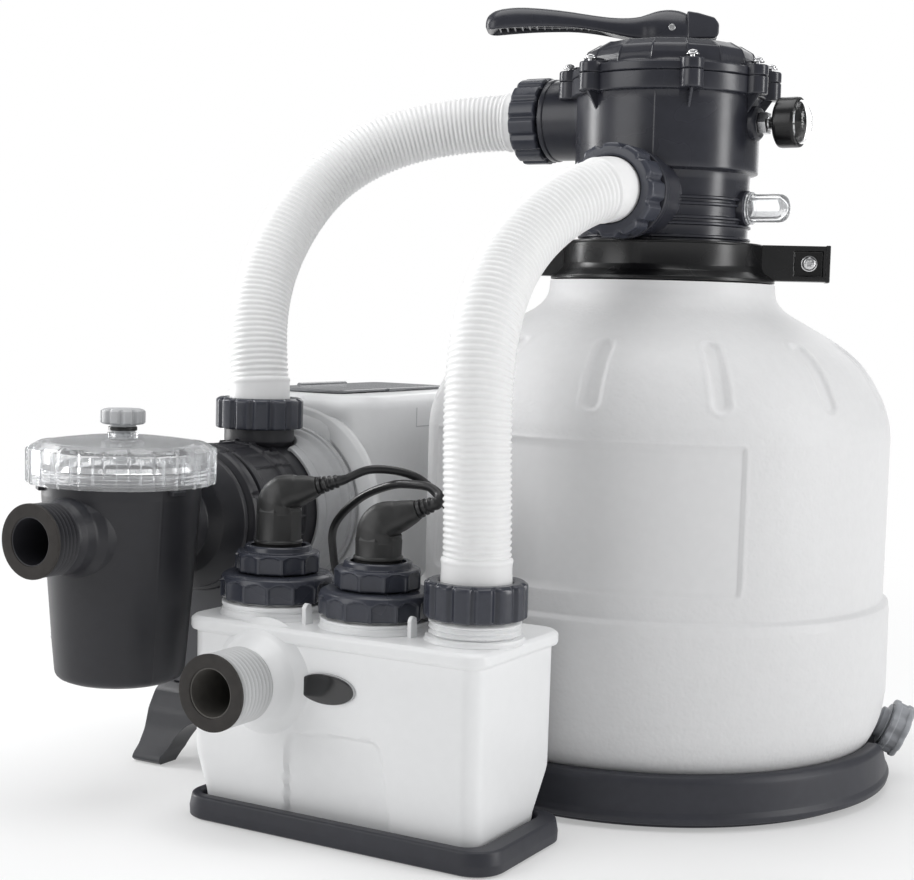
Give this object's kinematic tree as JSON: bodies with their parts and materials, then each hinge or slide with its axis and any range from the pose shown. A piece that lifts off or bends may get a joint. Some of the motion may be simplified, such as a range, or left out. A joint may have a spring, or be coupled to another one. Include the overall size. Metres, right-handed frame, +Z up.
{
  "type": "salt chlorine generator",
  "caption": "Saltwater pool set: sand filter tank with lever-operated multiport valve, strainer pump, salt electrolysis cell box and corrugated connecting hoses.",
  "frame": {"origin": "sand tank axis at ground level, centre of the base ring underside", "axes": "+Z up; -Y is the front, the way the open pool ports face; +X to the right seen from the front"},
  "size_m": [0.6213, 0.6645, 0.6585],
  "materials": {
    "white_plastic": "moulded white, gloss",
    "tank_white": "blow-moulded, orange-peel texture",
    "hose_white": "corrugated, satin",
    "dark_plastic": "moulded slate grey, satin",
    "tray_plastic": "moulded dark slate, fine grain",
    "charcoal_plastic": "moulded charcoal, satin",
    "black_plastic": "moulded black",
    "grey_plastic": "moulded mid grey",
    "light_grey_plastic": "moulded light grey",
    "clear_plastic": "clear moulded",
    "rubber_black": "moulded",
    "rubber_brown": "moulded brown-black",
    "steel": "bright zinc or stainless",
    "electrode_metal": "coated titanium",
    "copper_winding": "varnished copper",
    "amber_plastic": "moulded amber"
  },
  "bodies": {
    "filter_set": {"tank_shell": "tank_white", "base_ring": "tray_plastic", "drain_outlet": "grey_plastic", "standpipe_collector": "dark_plastic", "clamp_front": "black_plastic", "clamp_rear": "black_plastic", "clamp_bolt_right": "steel", "clamp_bolt_left": "steel", "valve_body": "dark_plastic", "valve_cover": "dark_plastic", "cover_screw_1": "steel", "cover_screw_2": "steel", "cover_screw_3": "steel", "cover_screw_4": "steel", "gauge_case": "black_plastic", "gauge_lens": "clear_plastic", "sight_glass": "clear_plastic", "hose_pump_to_valve": "hose_white", "hose_valve_to_cell": "hose_white", "strainer_pot": "charcoal_plastic", "inlet_gasket": "rubber_brown", "volute_housing": "charcoal_plastic", "seal_plate": "black_plastic", "motor_flange": "light_grey_plastic", "stator": "copper_winding", "motor_cover": "white_plastic", "control_panel": "light_grey_plastic", "pump_cradle": "grey_plastic", "cell_tray": "tray_plastic", "cell_box": "white_plastic", "cell_outlet_gasket": "rubber_brown", "electrode_cell": "electrode_metal", "sensor_holder": "dark_plastic", "electrode_plug_cord": "rubber_black", "sensor_plug_cord": "rubber_black"},
    "selector_ring": {"thrust_washer": "light_grey_plastic"},
    "diverter": {"diverter_stem": "dark_plastic", "stem_spring": "steel"},
    "lever": {"handle": "dark_plastic", "handle_pin": "steel"},
    "gauge_pointer": {"gauge_needle": "black_plastic"},
    "nut_valve_left_body": {"nut_valve_left": "dark_plastic"},
    "nut_valve_front_body": {"nut_valve_front": "dark_plastic"},
    "nut_pump_outlet_body": {"nut_pump_outlet": "dark_plastic"},
    "nut_cell_hose_body": {"nut_cell_hose": "dark_plastic"},
    "rear_cap_body": {"rear_port_cap": "dark_plastic"},
    "drain_cap_body": {"drain_cap": "grey_plastic"},
    "strainer_lid_body": {"strainer_lid": "clear_plastic"},
    "vent_knob_body": {"vent_knob": "light_grey_plastic"},
    "basket_body": {"strainer_basket": "light_grey_plastic"},
    "pot_plug_body": {"pot_drain_plug": "light_grey_plastic"},
    "pump_rotor": {"impeller": "light_grey_plastic", "motor_rotor": "steel"},
    "button_body": {"power_button": "grey_plastic"},
    "flip_cover_body": {"panel_flip_cover": "grey_plastic"},
    "electrode_nut_body": {"electrode_nut": "dark_plastic"},
    "sensor_nut_body": {"sensor_nut": "dark_plastic"},
    "electrode_collar_body": {"electrode_collar": "dark_plastic"},
    "sensor_collar_body": {"sensor_collar": "dark_plastic"},
    "flow_paddle_body": {"flow_paddle": "amber_plastic"}
  },
  "joints": [
    {"name": "selector_turn", "type": "hinge", "parent": "filter_set", "child": "selector_ring", "pos_m": [0, 0, 0.63], "axis": [0, 0, 1], "continuous": true},
    {"name": "stem_lift", "type": "slide", "parent": "selector_ring", "child": "diverter", "axis": [0, 0, 1], "range_m": [0, 0.004], "deforming": ["stem_spring"]},
    {"name": "lever_press", "type": "hinge", "parent": "diverter", "child": "lever", "pos_m": [0, 0, 0.641], "axis": [0.4226, -0.9063, 0], "range_deg": [0, 8]},
    {"name": "gauge_pointer_swing", "type": "hinge", "parent": "filter_set", "child": "gauge_pointer", "pos_m": [0.1105, 0, 0.559], "axis": [1, 0, 0], "range_deg": [0, 270]},
    {"name": "nut_valve_left_turn", "type": "hinge", "parent": "filter_set", "child": "nut_valve_left_body", "pos_m": [-0.1255, 0, 0.567], "axis": [-1, 0, 0], "continuous": true},
    {"name": "nut_valve_front_turn", "type": "hinge", "parent": "filter_set", "child": "nut_valve_front_body", "pos_m": [0.004, -0.1125, 0.495], "axis": [0, -1, 0], "continuous": true},
    {"name": "nut_pump_outlet_turn", "type": "hinge", "parent": "filter_set", "child": "nut_pump_outlet_body", "pos_m": [-0.304, -0.172, 0.3005], "axis": [0, 0, 1], "continuous": true},
    {"name": "nut_cell_hose_turn", "type": "hinge", "parent": "filter_set", "child": "nut_cell_hose_body", "pos_m": [-0.01, -0.302, 0.1853], "axis": [0, 0, 1], "continuous": true},
    {"name": "rear_cap_turn", "type": "hinge", "parent": "filter_set", "child": "rear_cap_body", "pos_m": [0, 0.11, 0.545], "axis": [0, 1, 0], "continuous": true},
    {"name": "drain_cap_turn", "type": "hinge", "parent": "filter_set", "child": "drain_cap_body", "pos_m": [0.20182, 0.07346, 0.04406], "axis": [0.865, 0.3148, -0.3907], "continuous": true},
    {"name": "strainer_lid_lift", "type": "slide", "parent": "filter_set", "child": "strainer_lid_body", "axis": [0, 0, 1], "range_m": [0, 0.15]},
    {"name": "vent_knob_turn", "type": "hinge", "parent": "strainer_lid_body", "child": "vent_knob_body", "pos_m": [-0.304, -0.3515, 0.3], "axis": [0, 0, 1], "continuous": true},
    {"name": "basket_lift", "type": "slide", "parent": "filter_set", "child": "basket_body", "axis": [0, 0, 1], "range_m": [0, 0.15]},
    {"name": "pot_plug_turn", "type": "hinge", "parent": "filter_set", "child": "pot_plug_body", "pos_m": [-0.364, -0.3515, 0.124], "axis": [-1, 0, 0], "continuous": true},
    {"name": "pump_spin", "type": "hinge", "parent": "filter_set", "child": "pump_rotor", "pos_m": [-0.304, -0.1, 0.2155], "axis": [0, 1, 0], "continuous": true},
    {"name": "power_button_press", "type": "slide", "parent": "filter_set", "child": "button_body", "axis": [0, 0, -1], "range_m": [0, 0.001]},
    {"name": "flip_cover_swing", "type": "hinge", "parent": "filter_set", "child": "flip_cover_body", "pos_m": [-0.355, 0, 0.319], "axis": [0, -1, 0], "range_deg": [0, 100]},
    {"name": "electrode_nut_turn", "type": "hinge", "parent": "filter_set", "child": "electrode_nut_body", "pos_m": [-0.1875, -0.302, 0.177], "axis": [0, 0, 1], "continuous": true},
    {"name": "sensor_nut_turn", "type": "hinge", "parent": "filter_set", "child": "sensor_nut_body", "pos_m": [-0.095, -0.302, 0.174], "axis": [0, 0, 1], "continuous": true},
    {"name": "electrode_collar_turn", "type": "hinge", "parent": "filter_set", "child": "electrode_collar_body", "pos_m": [-0.1875, -0.302, 0.196], "axis": [0, 0, 1], "continuous": true},
    {"name": "sensor_collar_turn", "type": "hinge", "parent": "filter_set", "child": "sensor_collar_body", "pos_m": [-0.095, -0.302, 0.192], "axis": [0, 0, 1], "continuous": true},
    {"name": "flow_paddle_swing", "type": "hinge", "parent": "filter_set", "child": "flow_paddle_body", "pos_m": [-0.095, -0.302, 0.124], "axis": [1, 0, 0], "range_deg": [-35, 35]}
  ],
  "couplings": [
    {"joint": "stem_lift", "follows": "lever_press", "m_per_rad": 0.0286},
    {"joint": "basket_lift", "follows": "strainer_lid_lift", "ratio": 1}
  ]
}
